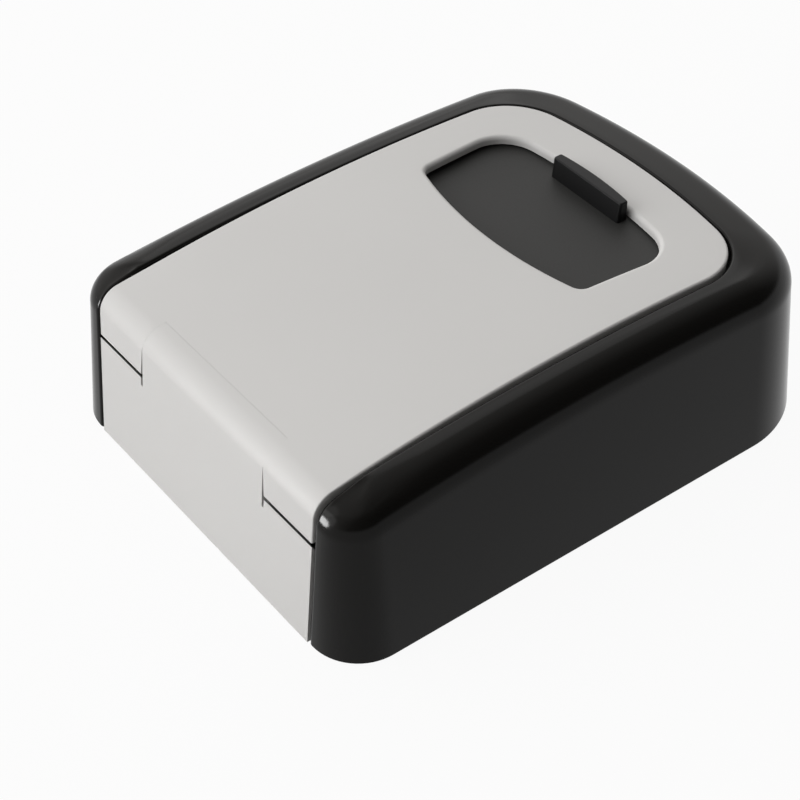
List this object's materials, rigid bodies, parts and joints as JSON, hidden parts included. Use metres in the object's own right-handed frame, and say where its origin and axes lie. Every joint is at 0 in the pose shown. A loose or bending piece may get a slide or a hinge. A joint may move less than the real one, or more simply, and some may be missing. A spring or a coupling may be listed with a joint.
{
  "type": "combination key lock box",
  "caption": "Wall-mounted key lock box: cast case with a hinged front door, a sliding shutter over combination dials, and a sliding latch that locks the door.",
  "frame": {"origin": "middle of the back, on the wall plane", "axes": "X across the case, +Y towards the top end away from the hinge, +Z out of the front"},
  "size_m": [0.09, 0.118, 0.038],
  "materials": {
    "case_black": "satin black enamel on cast metal",
    "door_grey": "matte warm grey enamel on cast metal",
    "charcoal": "matte charcoal moulded plastic",
    "moulded_black": "fine-textured black moulded plastic",
    "steel": "zinc-plated steel",
    "die_cast": "bare die-cast metal",
    "ivory": "ivory moulded plastic"
  },
  "bodies": {
    "case": {"case_shell": "case_black", "hinge_block": "door_grey", "hinge_pin": "steel", "hinge_screws": "steel"},
    "door": {"door_skin": "door_grey", "door_liner": "moulded_black", "lock_cover": "moulded_black", "bearing_block_left": "die_cast", "bearing_block_right": "die_cast", "block_screws": "steel", "liner_screws": "steel", "cover_screws": "steel", "detent_spring": "steel"},
    "shutter": {"shutter": "charcoal"},
    "latch": {"release_button": "moulded_black", "latch_plate": "steel", "latch_screw": "steel"},
    "shaft": {"dial_shaft": "steel", "shaft_clips": "steel", "reset_slider": "moulded_black"},
    "dial_1": {"dial_1": "ivory"},
    "gate_1": {"gate_sleeve_1": "die_cast"},
    "dial_2": {"dial_2": "ivory"},
    "gate_2": {"gate_sleeve_2": "die_cast"},
    "dial_3": {"dial_3": "ivory"},
    "gate_3": {"gate_sleeve_3": "die_cast"},
    "dial_4": {"dial_4": "ivory"},
    "gate_4": {"gate_sleeve_4": "die_cast"}
  },
  "joints": [
    {"name": "door_hinge", "type": "hinge", "parent": "case", "child": "door", "pos_m": [0, -0.05186, 0.02764], "axis": [1, 0, 0], "range_deg": [0, 105]},
    {"name": "shutter_slide", "type": "slide", "parent": "door", "child": "shutter", "axis": [0, -1, 0], "range_m": [0, 0.0226]},
    {"name": "latch_slide", "type": "slide", "parent": "door", "child": "latch", "axis": [0, 1, 0], "range_m": [0, 0.006]},
    {"name": "code_change_slide", "type": "slide", "parent": "door", "child": "shaft", "axis": [1, 0, 0], "range_m": [0, 0.0017]},
    {"name": "dial_1_turn", "type": "hinge", "parent": "door", "child": "dial_1", "pos_m": [-0.0141, 0.0265, 0.0238], "axis": [1, 0, 0], "continuous": true, "deforming": ["detent_spring"]},
    {"name": "gate_1_turn", "type": "hinge", "parent": "shaft", "child": "gate_1", "pos_m": [-0.0141, 0.0265, 0.0238], "axis": [1, 0, 0], "continuous": true},
    {"name": "dial_2_turn", "type": "hinge", "parent": "door", "child": "dial_2", "pos_m": [-0.0047, 0.0265, 0.0238], "axis": [1, 0, 0], "continuous": true, "deforming": ["detent_spring"]},
    {"name": "gate_2_turn", "type": "hinge", "parent": "shaft", "child": "gate_2", "pos_m": [-0.0047, 0.0265, 0.0238], "axis": [1, 0, 0], "continuous": true},
    {"name": "dial_3_turn", "type": "hinge", "parent": "door", "child": "dial_3", "pos_m": [0.0047, 0.0265, 0.0238], "axis": [1, 0, 0], "continuous": true, "deforming": ["detent_spring"]},
    {"name": "gate_3_turn", "type": "hinge", "parent": "shaft", "child": "gate_3", "pos_m": [0.0047, 0.0265, 0.0238], "axis": [1, 0, 0], "continuous": true},
    {"name": "dial_4_turn", "type": "hinge", "parent": "door", "child": "dial_4", "pos_m": [0.0141, 0.0265, 0.0238], "axis": [1, 0, 0], "continuous": true, "deforming": ["detent_spring"]},
    {"name": "gate_4_turn", "type": "hinge", "parent": "shaft", "child": "gate_4", "pos_m": [0.0141, 0.0265, 0.0238], "axis": [1, 0, 0], "continuous": true}
  ],
  "couplings": [
    {"joint": "gate_1_turn", "follows": "dial_1_turn", "ratio": 1},
    {"joint": "gate_2_turn", "follows": "dial_2_turn", "ratio": 1},
    {"joint": "gate_3_turn", "follows": "dial_3_turn", "ratio": 1},
    {"joint": "gate_4_turn", "follows": "dial_4_turn", "ratio": 1}
  ]
}
